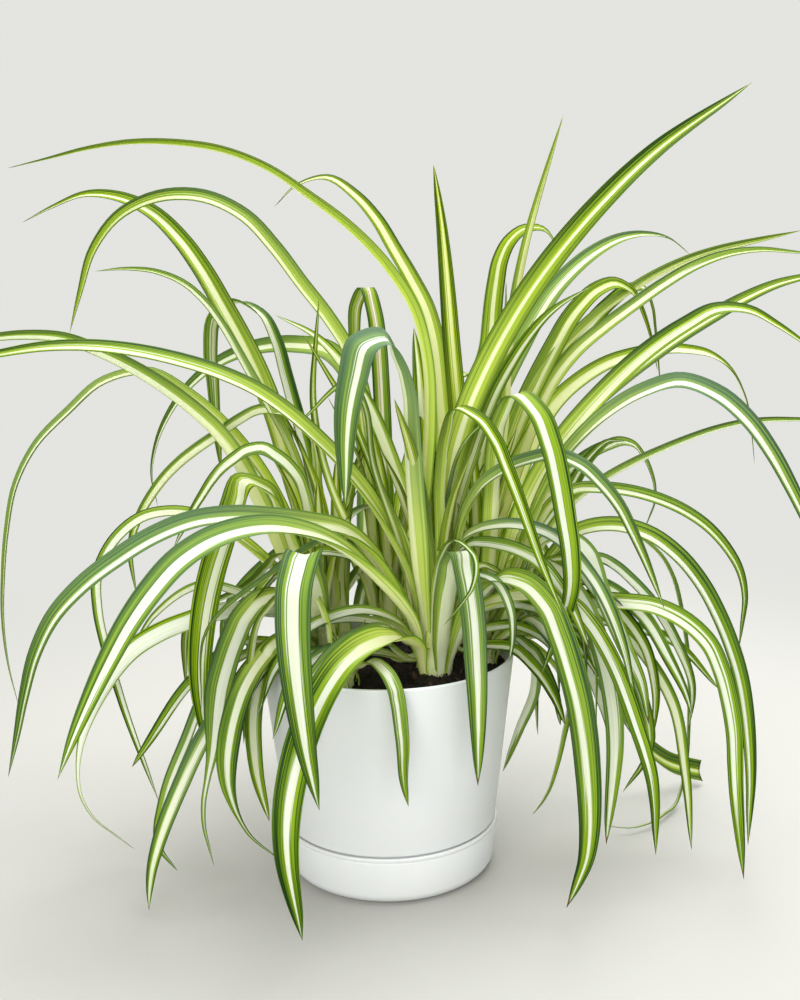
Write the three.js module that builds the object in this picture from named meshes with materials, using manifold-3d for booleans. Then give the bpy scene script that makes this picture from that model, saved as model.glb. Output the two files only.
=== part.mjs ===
// Potted spider plant: a white plastic pot standing in its saucer, potting soil, seven rosette
// crowns with fleshy roots, and the long channelled leaves that arch out of the crowns.
// Millimetres, +Z up. The origin is the centre of the saucer's flat underside.
import * as THREE from 'three';
import { mergeVertices } from 'three/addons/utils/BufferGeometryUtils.js';
import Module from 'manifold-3d';

const wasm = await Module();
wasm.setup();

// ---- driving dimensions -------------------------------------------------------------------

const RIM_RADIUS = 82.5;        // outside of the pot at its top edge
const POT_HEIGHT = 145;         // top edge above the surface
const WAIST_RADIUS = 70;        // outside of the pot where it meets the saucer's lip
const WAIST_HEIGHT = 33.5;
const WALL = 2.4;               // moulded plastic wall of pot and saucer
const FIT = 0.7;                // play between the pot's foot and the saucer
const CLEAR = 0.3;              // gap between two pieces that touch
const SAUCER_HEIGHT = 32.5;
const SAUCER_RADIUS = 71.2;     // outside of the saucer's lip
const FOOT_RADIUS = 60;         // flat underside of the saucer
const CORNER_RADIUS = 9;        // rounded bottom edge of the saucer
const FLOOR_HEIGHT = 7;         // underside of the pot's floor
const DRAIN_HOLES = 8;
const SOIL_EDGE_HEIGHT = 132;   // soil level against the wall
const SOIL_MIDDLE_HEIGHT = 137;
const CROWN_HEIGHT = 40;        // part of a crown that stands above the soil
const CROWN_RADIUS = 13;        // at soil level
const CROWN_TIP_RADIUS = 4.5;
const ROUND_SEGMENTS = 48;

const WALL_SLOPE = (RIM_RADIUS - WAIST_RADIUS) / (POT_HEIGHT - WAIST_HEIGHT);

// ---- materials ----------------------------------------------------------------------------

const whitePlastic = new THREE.MeshStandardMaterial({ color: 0xe9ecec, roughness: 0.3, metalness: 0 });
const soilBrown = new THREE.MeshStandardMaterial({ color: 0x241a13, roughness: 0.95, metalness: 0 });
const crownGreen = new THREE.MeshStandardMaterial({ color: 0xc3cf95, roughness: 0.6, metalness: 0 });
const leafGreen = new THREE.MeshStandardMaterial({ color: 0x86ac3c, roughness: 0.45, metalness: 0 });

// ---- solids -------------------------------------------------------------------------------

// A closed geometry as a manifold solid, its shared corners merged first.
function solid(geometry) {
  const shell = geometry.clone();
  shell.deleteAttribute('normal');
  shell.deleteAttribute('uv');
  const merged = mergeVertices(shell, 1e-4);
  return new wasm.Manifold(new wasm.Mesh({
    numProp: 3,
    vertProperties: new Float32Array(merged.attributes.position.array),
    triVerts: new Uint32Array(merged.index.array),
  }));
}

// A manifold solid back as a three.js geometry.
function geometryOf(manifold) {
  const mesh = manifold.getMesh();
  const geometry = new THREE.BufferGeometry();
  geometry.setAttribute('position', new THREE.BufferAttribute(mesh.vertProperties, 3));
  geometry.setIndex(new THREE.BufferAttribute(mesh.triVerts, 1));
  geometry.computeVertexNormals();
  return geometry;
}

// A solid of revolution about Z from [radius, height] points.
function turned(profile, segments = ROUND_SEGMENTS) {
  const points = profile.map(([radius, height]) => new THREE.Vector2(radius, height));
  return new THREE.LatheGeometry(points, segments).rotateX(Math.PI / 2);
}

// Quarter circle of [radius, height] points about a centre, from one angle to another in degrees.
function arcPoints(centreRadius, centreHeight, radius, from, to, steps) {
  const points = [];
  for (let i = 0; i <= steps; i += 1) {
    const angle = THREE.MathUtils.degToRad(from + ((to - from) * i) / steps);
    points.push([centreRadius + radius * Math.cos(angle), centreHeight + radius * Math.sin(angle)]);
  }
  return points;
}

function named(name, geometry, material) {
  const mesh = new THREE.Mesh(geometry, material);
  mesh.name = name;
  return mesh;
}

// ---- pot and saucer -----------------------------------------------------------------------

const saucerInnerRadius = SAUCER_RADIUS - WALL;
const potFootRadius = saucerInnerRadius - FIT;

// The saucer: flat underside, rounded bottom edge, a wall that widens with the pot's taper, a lip
// band set off by a fine groove, and a flat floor inside for the pot's foot ring.
function saucer() {
  const bandHeight = SAUCER_HEIGHT - 3;
  const corner = arcPoints(FOOT_RADIUS, CORNER_RADIUS, CORNER_RADIUS, -90, -10, 6);
  return turned([
    [0, 0],
    ...corner,
    [SAUCER_RADIUS - 0.4, bandHeight - 0.5],
    [SAUCER_RADIUS - 1, bandHeight],
    [SAUCER_RADIUS, bandHeight + 0.5],
    [SAUCER_RADIUS, SAUCER_HEIGHT - 0.6],
    [SAUCER_RADIUS - 0.8, SAUCER_HEIGHT],
    [saucerInnerRadius, SAUCER_HEIGHT],
    [FOOT_RADIUS + CORNER_RADIUS - WALL, CORNER_RADIUS],
    [FOOT_RADIUS + 3, WALL],
    [0, WALL],
  ]);
}

const footInset = potFootRadius - 4;
const potInnerFoot = potFootRadius - WALL;

// The pot: a tapered shell with a rounded top edge, a waist that drops into the saucer, a floor
// with drainage holes and a foot ring under it.
function pot() {
  const rim = arcPoints(RIM_RADIUS - WALL / 2, POT_HEIGHT - WALL / 2, WALL / 2, 0, 180, 6);
  const shell = turned([
    [0, FLOOR_HEIGHT],
    [footInset - 4, FLOOR_HEIGHT],
    [footInset - 4, WALL + CLEAR],
    [footInset - 1.5, WALL + CLEAR],
    [potFootRadius - 3, CORNER_RADIUS],
    [potFootRadius, SAUCER_HEIGHT - 2],
    [potFootRadius, WAIST_HEIGHT],
    [WAIST_RADIUS, WAIST_HEIGHT],
    ...rim,
    [WAIST_RADIUS - WALL, WAIST_HEIGHT + WALL],
    [potInnerFoot, WAIST_HEIGHT - 1],
    [potInnerFoot - 3, FLOOR_HEIGHT + WALL],
    [0, FLOOR_HEIGHT + WALL],
  ]);
  let body = solid(shell);
  for (let i = 0; i < DRAIN_HOLES; i += 1) {
    const angle = (i * 2 * Math.PI) / DRAIN_HOLES;
    const hole = new THREE.CylinderGeometry(4, 4, 12, 8).rotateX(Math.PI / 2);
    hole.translate(38 * Math.cos(angle), 38 * Math.sin(angle), FLOOR_HEIGHT);
    body = body.subtract(solid(hole));
  }
  return geometryOf(body);
}

// ---- crowns and roots ---------------------------------------------------------------------

// Each crown: its place on the soil, its size and the way its first root points.
const crowns = {
  middle: { x: 30, y: -20, size: 1, turn: 20 },
  left_front: { x: -42, y: 0, size: 0.9, turn: 75 },
  left_back: { x: -34, y: 42, size: 0.9, turn: 130 },
  right_front: { x: 60, y: 2, size: 0.9, turn: 200 },
  right_back: { x: 44, y: 46, size: 0.9, turn: 250 },
  back: { x: 2, y: 58, size: 0.85, turn: 300 },
  rim: { x: -26, y: -44, size: 0.5, turn: 160 },
};

const ROOTS_PER_CROWN = 5;
const ROOT_LENGTH = 58;
const ROOT_RADIUS = 3.6;

function soilHeight(x, y) {
  const fromMiddle = Math.hypot(x, y) / RIM_RADIUS;
  return SOIL_MIDDLE_HEIGHT - (SOIL_MIDDLE_HEIGHT - SOIL_EDGE_HEIGHT) * fromMiddle * fromMiddle;
}

// Outside radius of a crown at a height above the soil.
function crownRadius(crown, height) {
  const up = height / (CROWN_HEIGHT * crown.size);
  return crown.size * (CROWN_RADIUS + (CROWN_TIP_RADIUS - CROWN_RADIUS) * up);
}

// A crown with its fleshy roots, larger by `extra` all round when it is used to shape its socket.
function crownSolid(crown, extra) {
  const { x, y, size } = crown;
  const base = soilHeight(x, y);
  const top = CROWN_HEIGHT * size;
  const stem = turned([
    [0, -14 * size - extra],
    [9 * size + extra, -12 * size - extra],
    [crownRadius(crown, 0) + extra, 0],
    [crownRadius(crown, top) + extra, top],
    [0, top + 2 + extra],
  ], 12);
  stem.translate(x, y, base);
  let body = solid(stem);
  for (let i = 0; i < ROOTS_PER_CROWN; i += 1) {
    const angle = THREE.MathUtils.degToRad(crown.turn + (i * 360) / ROOTS_PER_CROWN);
    const from = new THREE.Vector3(
      x + 4 * size * Math.cos(angle), y + 4 * size * Math.sin(angle), base - 8 * size);
    const to = new THREE.Vector3(
      0.82 * x + 13 * size * Math.cos(angle),
      0.82 * y + 13 * size * Math.sin(angle),
      base - (ROOT_LENGTH + 6 * (i % 3)) * size);
    const root = new THREE.CylinderGeometry(
      ROOT_RADIUS * size + extra, 1.2 * size + extra, from.distanceTo(to) + 2 * extra, 6);
    const upright = new THREE.Vector3(0, 1, 0);
    const along = new THREE.Vector3().subVectors(from, to).normalize();
    root.applyQuaternion(new THREE.Quaternion().setFromUnitVectors(upright, along));
    const middle = new THREE.Vector3().addVectors(from, to).multiplyScalar(0.5);
    root.translate(middle.x, middle.y, middle.z);
    body = body.add(solid(root));
  }
  return body;
}

// The soil fills the pot to just below its rim, with a socket round each crown and its roots.
function soil() {
  const wallGap = WALL + CLEAR;
  const edge = WAIST_RADIUS - wallGap + WALL_SLOPE * (SOIL_EDGE_HEIGHT - WAIST_HEIGHT);
  let body = solid(turned([
    [0, FLOOR_HEIGHT + wallGap],
    [potInnerFoot - 3.4, FLOOR_HEIGHT + wallGap],
    [potInnerFoot - 0.4, WAIST_HEIGHT - 1],
    [WAIST_RADIUS - wallGap, WAIST_HEIGHT + WALL + 0.6],
    [edge, SOIL_EDGE_HEIGHT],
    [edge * 0.6, soilHeight(edge * 0.6, 0)],
    [0, SOIL_MIDDLE_HEIGHT],
  ], 32));
  for (const crown of Object.values(crowns)) {
    body = body.subtract(crownSolid(crown, CLEAR));
  }
  return geometryOf(body);
}

// ---- leaves -------------------------------------------------------------------------------

const LEAF_STEPS = 16;
const LEAF_BASE_WIDTH = 6;
const LEAF_BASE_THICKNESS = 1.6;
const LEAF_TIP_THICKNESS = 0.6;

// The leaves of each crown, innermost first. A leaf lies in an upright plane through its crown:
// heading (degrees from +X, anticlockwise from above), width (mm), lean (degrees that the blade's
// upper face turns to the right, seen from the crown, near its base and near its tip), and the
// [distance from the crown, height above the surface] points that its arch passes (mm), with a
// third number where it swings out of that plane to its own left. 'cut' marks the one leaf whose
// end was cut off square, 'thread' those that narrow early into a long thread.
const leaves = {
  middle: [
    [90, 14, [0, 0], [[16, 225, -12], [24, 276, -18], [25, 345, -14], [25, 412, -9], [25, 453, -4]]],
    [163, 20, [45, -10], [[5, 350], [30, 395], [70, 430], [120, 460], [195, 472], [290, 460]]],
    [22, 20, [45, 45], [[16, 275], [64, 367], [146, 451], [234, 507]]],
    [222, 26, [0, -55], [[17, 260], [22, 325], [38, 348], [53, 345], [62, 325], [68, 300], [70, 252]]],
    [318, 14, [0, 20], [[8, 225], [9, 270], [20, 304], [42, 296], [64, 259], [82, 220], [98, 190]]],
    [345, 15, [20, 45], [[14, 215], [30, 255], [57, 272], [83, 275], [110, 253], [128, 220], [143, 184]]],
    [190, 20, [-25, -30], [[14, 200], [35, 244], [70, 287], [110, 320], [167, 341], [220, 347], [300, 335]]],
    [202, 20, [-25, -30], [[20, 185], [48, 227], [92, 242], [146, 247], [190, 231], [234, 195], [262, 110]]],
    [218, 22, [-20, -35], [[20, 178], [67, 226], [119, 246], [166, 240], [200, 214], [234, 165], [251, 132]]],
    [290, 19, [0, 0], [[22, 187], [42, 222], [58, 197], [66, 150], [68, 115], [68, 85]]],
    [340, 16, [10, 55], [[30, 180], [83, 188], [108, 161], [130, 108], [139, 77], [142, 31]]],
    [318, 22, [0, 48], [[30, 185], [50, 204], [80, 199], [104, 155], [115, 103], [116, 48], [102, 8]]],
    [236, 22, [-10, -36], [[20, 158], [42, 171], [95, 168], [128, 144], [147, 110], [152, 77], [141, 18]]],
  ],
  right_back: [
    [165, 18, [-45, -30], [[5, 276], [13, 356], [33, 396], [57, 433], [84, 451], [108, 444], [120, 433]]],
    [28, 20, [35, 25], [[27, 278], [52, 327], [91, 379], [141, 409], [184, 411], [208, 398]]],
    [355, 16, [-30, -30], [[36, 275], [41, 342], [51, 401], [75, 485]]],
    [22, 18, [-45, -40], [[61, 303], [96, 343], [145, 375], [194, 395], [290, 415]]],
    [12, 17, [25, 30], [[66, 298], [85, 327], [129, 361], [179, 390], [217, 399], [275, 395]]],
    [36, 16, [20, 50], [[88, 285], [136, 315], [186, 326], [240, 326], [285, 314], [313, 284], [328, 226]]],
    [2, 18, [45, 45], [[68, 261], [96, 297], [137, 330], [177, 355], [218, 375], [265, 385]]],
  ],
  right_front: [
    [308, 20, [0, 20], [[11, 205], [16, 257], [23, 296], [40, 312], [60, 292], [77, 240], [82, 198], [58, 140]]],
    [1, 20, [40, 30], [[21, 216], [48, 270], [86, 315], [121, 344], [159, 362], [186, 352], [225, 326]]],
    [341, 18, [12, 55], [[53, 268], [93, 307], [129, 319], [156, 305], [178, 279], [221, 196]]],
    [0, 14, [10, 60], [[53, 243], [79, 248], [117, 240], [150, 220], [172, 186], [171, 139]]],
    [8, 14, [-35, -30], [[55, 230], [81, 251], [121, 270], [176, 286], [250, 286]]],
    [350, 18, [10, 65], [[65, 223], [103, 223], [134, 199], [163, 141], [174, 78], [175, 16]]],
    [326, 18, [0, 50], [[45, 205], [69, 189], [86, 156], [96, 106], [92, 29]]],
    [341, 18, [10, 62], [[25, 165], [54, 177], [82, 180], [116, 178], [144, 160], [160, 117], [165, 65], [172, 6]]],
    [31, 20, [20, 62], [[23, 157], [60, 152], [100, 112], [138, 55], [172, 25], [206, 10]], 'cut'],
    [4, 12, [0, 0], [[21, 150], [42, 140], [60, 110], [57, 82], [46, 40], [36, 25]]],
  ],
  left_back: [
    [150, 19, [-10, 20], [[18, 249], [34, 304], [53, 358], [74, 370], [96, 358], [99, 302], [96, 247]]],
    [192, 15, [-30, -30], [[26, 264], [54, 323], [81, 370], [102, 387], [127, 392], [149, 391]]],
    [169, 23, [-30, -30], [[27, 236], [48, 312], [75, 368], [101, 410], [128, 434], [166, 443], [215, 426]]],
    [184, 14, [-20, -30], [[27, 215], [57, 271], [94, 310], [132, 327], [179, 296], [208, 260], [226, 155], [220, 101]]],
    [196, 21, [35, 30], [[32, 192], [52, 240], [76, 284], [112, 318], [148, 340], [178, 351], [260, 347]]],
    [198, 15, [-10, -40], [[28, 177], [52, 204], [88, 231], [123, 236], [153, 212], [159, 182], [149, 120], [128, 40]]],
  ],
  left_front: [
    [205, 24, [0, -70], [[14, 205], [31, 250], [46, 261], [62, 229], [76, 188], [83, 137], [79, 84]]],
    [268, 24, [0, 0], [[25, 178], [60, 204], [93, 225], [118, 236, 4], [138, 226, 1], [147, 200], [146, 140, 4], [140, 97, 10]]],
    [222, 22, [-10, -45], [[25, 186], [53, 185], [77, 149], [88, 100], [97, 61], [91, 25]], 'thread'],
    [188, 20, [-20, -60], [[18, 167], [47, 174], [79, 170], [124, 149], [157, 94], [158, 49], [127, 15]], 'thread'],
    [236, 18, [0, -35], [[23, 162], [53, 159], [82, 136], [96, 93], [83, 54], [49, 17]], 'thread'],
    [216, 16, [0, -40], [[22, 156], [45, 150], [65, 131], [87, 107], [105, 79], [119, 53], [128, 28], [131, 5]]],
  ],
  back: [
    [186, 18, [-30, -50], [[21, 324], [56, 381], [94, 427], [126, 439], [158, 434], [184, 414], [208, 351]]],
    [120, 16, [0, 0], [[8, 300], [14, 355], [24, 377], [38, 370], [45, 328], [47, 285]]],
    [150, 18, [-40, -60], [[33, 326], [83, 339], [142, 326], [187, 293], [213, 246], [209, 212]]],
    [58, 16, [0, 0], [[20, 230], [70, 300], [130, 310], [180, 260], [205, 180], [210, 110]]],
    [98, 18, [0, 0], [[18, 210], [60, 255], [110, 250], [150, 190], [165, 120], [170, 60]]],
    [35, 14, [0, 0], [[40, 190], [90, 215], [135, 190], [160, 130], [170, 60]]],
    [130, 16, [0, 0], [[30, 180], [75, 200], [115, 170], [135, 110], [140, 40]]],
  ],
  rim: [
    [305, 13, [0, 0], [[15, 152], [32, 158], [51, 150], [60, 118], [61, 94], [66, 79]]],
  ],
};

// Half the blade's width at a fraction of its length: a narrow base, widest before the middle,
// then a long taper to a fine point.
function halfWidth(width, along, end) {
  const widening = THREE.MathUtils.smoothstep(along, 0, 0.35);
  let taper = Math.pow(Math.max(0, 1 - along ** 4), 0.8);
  if (end === 'cut') taper = 1 - 0.15 * along;
  if (end === 'thread') taper *= 1 - 0.75 * THREE.MathUtils.smoothstep(along, 0.5, 0.78);
  return (0.5 * (LEAF_BASE_WIDTH + (width - LEAF_BASE_WIDTH) * widening)) * taper;
}

// Angle between each half of the channelled blade and its flat position, in radians.
function foldAngle(along) {
  const closing = THREE.MathUtils.smoothstep(along, 0, 0.15);
  return THREE.MathUtils.degToRad(8 + 30 * closing - 20 * along);
}

// Turns the diagonals of every other side of the blank, so that above and below they run alike and
// the two faces of a twisted blade stay parallel.
function matchDiagonals(blank) {
  const index = blank.index.array;
  const trianglesPerSide = 2 * LEAF_STEPS - 1;
  for (const side of [1, 3]) {
    const start = 3 * side * trianglesPerSide;
    for (let i = start + 3; i < start + 3 * trianglesPerSide; i += 6) {
      const [a, b, d, , c] = index.slice(i, i + 6);
      index.set([a, b, c, a, c, d], i);
    }
  }
}

// One leaf, its base seated on the crown and its blade lofted along the arch, which runs halfway
// up the channel.
function leaf(crown, seatHeight, [heading, width, lean, arch, end = 'tip']) {
  const turn = THREE.MathUtils.degToRad(heading);
  const outward = new THREE.Vector3(Math.cos(turn), Math.sin(turn), 0);
  const leftward = new THREE.Vector3(-Math.sin(turn), Math.cos(turn), 0);
  const place = ([reach, height, swing = 0]) => new THREE.Vector3(crown.x, crown.y, height)
    .addScaledVector(outward, reach)
    .addScaledVector(leftward, swing);
  const seatReach = crownRadius(crown, seatHeight) + CLEAR + LEAF_BASE_THICKNESS / 2;
  const seat = place([seatReach, soilHeight(crown.x, crown.y) + seatHeight]);
  const route = new THREE.CatmullRomCurve3([seat, ...arch.map(place)], false, 'centripetal');
  route.arcLengthDivisions = 400;

  // A four-sided cone is the blank: its left and right corners become the blade's edges, the other
  // two the channel above the midrib and the keel below it. A cut end keeps its last ring at the
  // end of the arch, closed by a flat face.
  const blank = new THREE.CylinderGeometry(0, 1, 1, 4, LEAF_STEPS);
  matchDiagonals(blank);
  const position = blank.attributes.position;
  const corner = new THREE.Vector3();
  const lastRing = end === 'cut' ? 1 - 1 / LEAF_STEPS : 1;
  for (let i = 0; i < position.count; i += 1) {
    corner.fromBufferAttribute(position, i);
    const along = Math.min((corner.y + 0.5) / lastRing, 1);
    const centre = route.getPointAt(along);
    const forward = route.getTangentAt(along);
    const tilt = THREE.MathUtils.degToRad(lean[0] + (lean[1] - lean[0]) * along)
      * THREE.MathUtils.smoothstep(along, 0, 0.3);
    const left = leftward.clone().applyAxisAngle(forward, tilt);
    const up = new THREE.Vector3().crossVectors(forward, left).normalize();
    const radius = 0.5 - corner.y;
    const sideways = radius > 0 ? corner.x / radius : 0;
    const upward = radius > 0 ? corner.z / radius : 0;
    const half = halfWidth(width, along, end);
    const fold = foldAngle(along);
    const thickness = THREE.MathUtils.lerp(LEAF_BASE_THICKNESS, LEAF_TIP_THICKNESS, along);
    centre.addScaledVector(left, -sideways * half * Math.cos(fold));
    const raised = (Math.abs(sideways) - 0.5) * half * Math.sin(fold);
    centre.addScaledVector(up, raised + (upward * thickness) / 2);
    position.setXYZ(i, centre.x, centre.y, centre.z);
  }
  return geometryOf(solid(blank));
}

// ---- the object ---------------------------------------------------------------------------

const plant = new THREE.Group();
plant.name = 'potted_spider_plant';
plant.add(named('saucer', saucer(), whitePlastic));
plant.add(named('pot', pot(), whitePlastic));
plant.add(named('potting_soil', soil(), soilBrown));

for (const [where, crown] of Object.entries(crowns)) {
  plant.add(named(`crown_${where}`, geometryOf(crownSolid(crown, 0)), crownGreen));
  const row = leaves[where];
  row.forEach((shape, i) => {
    const down = (i + 0.5) / row.length;
    const seatHeight = (1 - down) * (CROWN_HEIGHT * crown.size - 4) + 2;
    const number = String(i + 1).padStart(2, '0');
    plant.add(named(`leaf_${where}_${number}`, leaf(crown, seatHeight, shape), leafGreen));
  });
}

export default plant;
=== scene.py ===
import math
import random

import bmesh
import bpy
import numpy as np
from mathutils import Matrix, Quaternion, Vector, noise


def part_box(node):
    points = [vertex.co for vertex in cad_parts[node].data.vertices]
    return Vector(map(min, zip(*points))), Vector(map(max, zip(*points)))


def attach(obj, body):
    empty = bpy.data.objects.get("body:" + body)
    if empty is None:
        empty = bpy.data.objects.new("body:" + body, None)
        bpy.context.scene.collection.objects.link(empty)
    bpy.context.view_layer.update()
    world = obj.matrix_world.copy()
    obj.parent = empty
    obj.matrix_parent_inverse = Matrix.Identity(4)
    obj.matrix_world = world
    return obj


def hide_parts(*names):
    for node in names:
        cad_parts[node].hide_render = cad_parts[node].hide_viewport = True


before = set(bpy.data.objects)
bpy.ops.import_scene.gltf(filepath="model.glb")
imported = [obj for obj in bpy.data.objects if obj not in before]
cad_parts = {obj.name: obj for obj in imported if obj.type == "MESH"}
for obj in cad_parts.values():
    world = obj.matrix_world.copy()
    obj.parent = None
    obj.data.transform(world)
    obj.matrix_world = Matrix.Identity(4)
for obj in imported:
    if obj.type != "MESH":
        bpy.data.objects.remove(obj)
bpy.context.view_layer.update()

# ---- Saucer --------------------------------------------------------------------------------
# The real saucer is one injection-moulded dish of white polypropylene, with a rounded bottom
# edge and a raised lip set off by a fine groove. The pot drops into it and is held by its taper.

MM = 0.001
WALL = 2.4 * MM
ROUND_STEPS = 192  # faces round the pot, so that its outline shows no corners
FULL_CIRCLE = 2 * math.pi


def in_scene(name, data):
    """A new object in the scene, at the origin, unturned and unscaled."""
    made = bpy.data.objects.new(name, data)
    bpy.context.scene.collection.objects.link(made)
    return made


def plain_mesh(name, shape):
    """The mesh of a shape that has been built up, which is then let go."""
    mesh = bpy.data.meshes.new(name)
    shape.to_mesh(mesh)
    shape.free()
    return mesh


def arc(centre, radius, start, end, steps):
    """[radius, height] points of a rounded corner, angles in degrees."""
    turns = np.radians(np.linspace(start, end, steps + 1))
    return [(centre[0] + radius * math.cos(t), centre[1] + radius * math.sin(t)) for t in turns]


def turned(name, profile, steps=ROUND_STEPS):
    """A closed shell of revolution about Z from [radius, height] points, both ends on the axis."""
    shell = bmesh.new()
    rings = []
    for radius, height in profile:
        count = steps if radius > 0 else 1
        rings.append([
            shell.verts.new((
                radius * math.cos(FULL_CIRCLE * i / steps),
                radius * math.sin(FULL_CIRCLE * i / steps),
                height,
            ))
            for i in range(count)
        ])
    for lower, upper in zip(rings, rings[1:]):
        for i in range(steps):
            j = (i + 1) % steps
            corners = [
                lower[i % len(lower)], lower[j % len(lower)],
                upper[j % len(upper)], upper[i % len(upper)]]
            shell.faces.new(list(dict.fromkeys(corners)))
    bmesh.ops.recalc_face_normals(shell, faces=shell.faces)
    mesh = plain_mesh(name, shell)
    mesh.shade_smooth()
    return in_scene(name, mesh)


def node(tree, kind, values=None, **settings):
    """Adds a node. values holds its inputs by name or number: plain values, or sockets to link."""
    made = tree.nodes.new(kind)
    for key, value in settings.items():
        setattr(made, key, value)
    for key, value in (values or {}).items():
        if isinstance(value, bpy.types.NodeSocket):
            tree.links.new(value, made.inputs[key])
        else:
            made.inputs[key].default_value = value
    return made


def finish_of(name):
    """An empty node material, its tree and its Principled shader."""
    material = bpy.data.materials.new(name)
    material.use_nodes = True
    tree = material.node_tree
    return material, tree, tree.nodes["Principled BSDF"]


def mixed(tree, share, first, second):
    """The colour between two colours, or colour sockets."""
    made = node(tree, "ShaderNodeMix", {0: share, 6: first, 7: second}, data_type="RGBA")
    return made.outputs[2]


def ramped(tree, value, low, high, to_low=0.0, to_high=1.0):
    """A smooth step from to_low to to_high as value goes from low to high."""
    made = node(
        tree,
        "ShaderNodeMapRange",
        {"Value": value, "From Min": low, "From Max": high, "To Min": to_low, "To Max": to_high},
        interpolation_type="SMOOTHSTEP",
    )
    return made.outputs["Result"]


def worked(tree, operation, *inputs):
    """One sum of the Math node."""
    return node(tree, "ShaderNodeMath", dict(enumerate(inputs)), operation=operation).outputs[0]


def grain(tree, vector, scale, detail=2.0, roughness=0.5):
    """Noise between 0 and 1 about 0.5."""
    values = {"Vector": vector, "Scale": scale, "Detail": detail, "Roughness": roughness}
    return node(tree, "ShaderNodeTexNoise", values).outputs["Fac"]


def bumped(tree, shader, height, distance, strength=1.0):
    """Gives a shader small relief, where a height of 1 stands for distance metres."""
    bump = node(tree, "ShaderNodeBump", {"Height": height, "Distance": distance, "Strength": strength})
    tree.links.new(bump.outputs["Normal"], shader.inputs["Normal"])


def moulded_plastic():
    """White polypropylene: a soft gloss, a faint orange peel, hand marks and a little dust."""
    material, tree, shader = finish_of("white_plastic")
    place = node(tree, "ShaderNodeTexCoord").outputs["Object"]
    cloud = grain(tree, place, 22, 3)
    height = node(tree, "ShaderNodeSeparateXYZ", {0: place}).outputs["Z"]
    low_down = ramped(tree, height, 0.0, 0.03, 1.0, 0.0)
    dusty = worked(tree, "MULTIPLY", low_down, grain(tree, place, 260, 4))
    clean = mixed(tree, cloud, (0.60, 0.625, 0.63, 1), (0.63, 0.65, 0.655, 1))
    dust = (0.62, 0.60, 0.56, 1)
    colour = mixed(tree, worked(tree, "MULTIPLY", dusty, 0.10), clean, dust)
    tree.links.new(colour, shader.inputs["Base Color"])
    smear = ramped(tree, grain(tree, place, 60, 5, 0.65), 0.35, 0.75, 0.32, 0.38)
    tree.links.new(smear, shader.inputs["Roughness"])
    peel = grain(tree, place, 900, 2)
    bumped(tree, shader, peel, 0.00004, 0.5)
    shader.inputs["Specular IOR Level"].default_value = 0.5
    shader.inputs["Subsurface Weight"].default_value = 0.08
    shader.inputs["Subsurface Scale"].default_value = 0.004
    return material


def placed(piece, material, slot, *nodes):
    """Gives a finished piece its material, hangs it from the root and hides the CAD parts it replaces."""
    piece.data.materials.clear()
    piece.data.materials.append(material)
    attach(piece, "root")
    if nodes:
        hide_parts(*nodes)


SAUCER_CORNER = 9 * MM  # radius of the rounded bottom edge
SAUCER_FOOT = 60 * MM  # radius of the flat that it stands on
LIP_BAND = 3 * MM  # height of the lip above its groove
GROOVE_DEPTH = 1.1 * MM
LIP_OUTER_ROUND = 0.8 * MM
LIP_INNER_ROUND = 0.5 * MM

saucer_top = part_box("saucer")[1]
lip = saucer_top.x  # radius of the lip
rise = saucer_top.z  # height of the saucer
groove = rise - LIP_BAND  # height of the groove
white_plastic = moulded_plastic()
saucer = turned("saucer_dish", [
    (0, 0),
    (SAUCER_FOOT * 0.985, 0),
    *arc((SAUCER_FOOT, SAUCER_CORNER), SAUCER_CORNER, -89, -10, 12),
    (lip - 0.35 * MM, groove - 0.9 * MM),
    (lip - 0.45 * MM, groove - 0.5 * MM),
    (lip - GROOVE_DEPTH, groove - 0.1 * MM),
    (lip - GROOVE_DEPTH, groove + 0.2 * MM),
    (lip - 0.2 * MM, groove + 0.6 * MM),
    (lip, groove + 1.0 * MM),
    *arc((lip - LIP_OUTER_ROUND, rise - LIP_OUTER_ROUND), LIP_OUTER_ROUND, 0, 90, 5),
    *arc((lip - WALL + LIP_INNER_ROUND, rise - LIP_INNER_ROUND), LIP_INNER_ROUND, 90, 170, 3),
    (SAUCER_FOOT + SAUCER_CORNER - WALL, SAUCER_CORNER),
    (SAUCER_FOOT + 3 * MM, WALL),
    (0, WALL),
])
placed(saucer, white_plastic, "pot_plastic", "saucer")

# ---- Pot -----------------------------------------------------------------------------------
# The real pot is one moulded shell of the same white plastic, smooth and tapered, with a plain
# rounded rim, a waist that drops into the saucer, a foot ring and drainage holes in its floor.

DRAIN_HOLES = 8
DRAIN_RADIUS = 4 * MM
DRAIN_RING = 38 * MM  # radius of the circle that the drainage holes lie on
POT_FLOOR = 7 * MM  # height of the underside of the pot's floor
FOOT_RING_INNER = 8 * MM  # how far the foot ring's inner face lies inside the neck
FOOT_RING_OUTER = 5.5 * MM
WAIST_RADIUS = 70 * MM
WAIST_HEIGHT = 33.5 * MM
WAIST_ROUND = 0.7 * MM

pot_low, pot_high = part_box("pot")
rim = pot_high.x  # radius of the rim
pot_top = pot_high.z
neck = lip - WALL - 0.7 * MM  # radius of the part of the pot that stands inside the saucer


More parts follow.
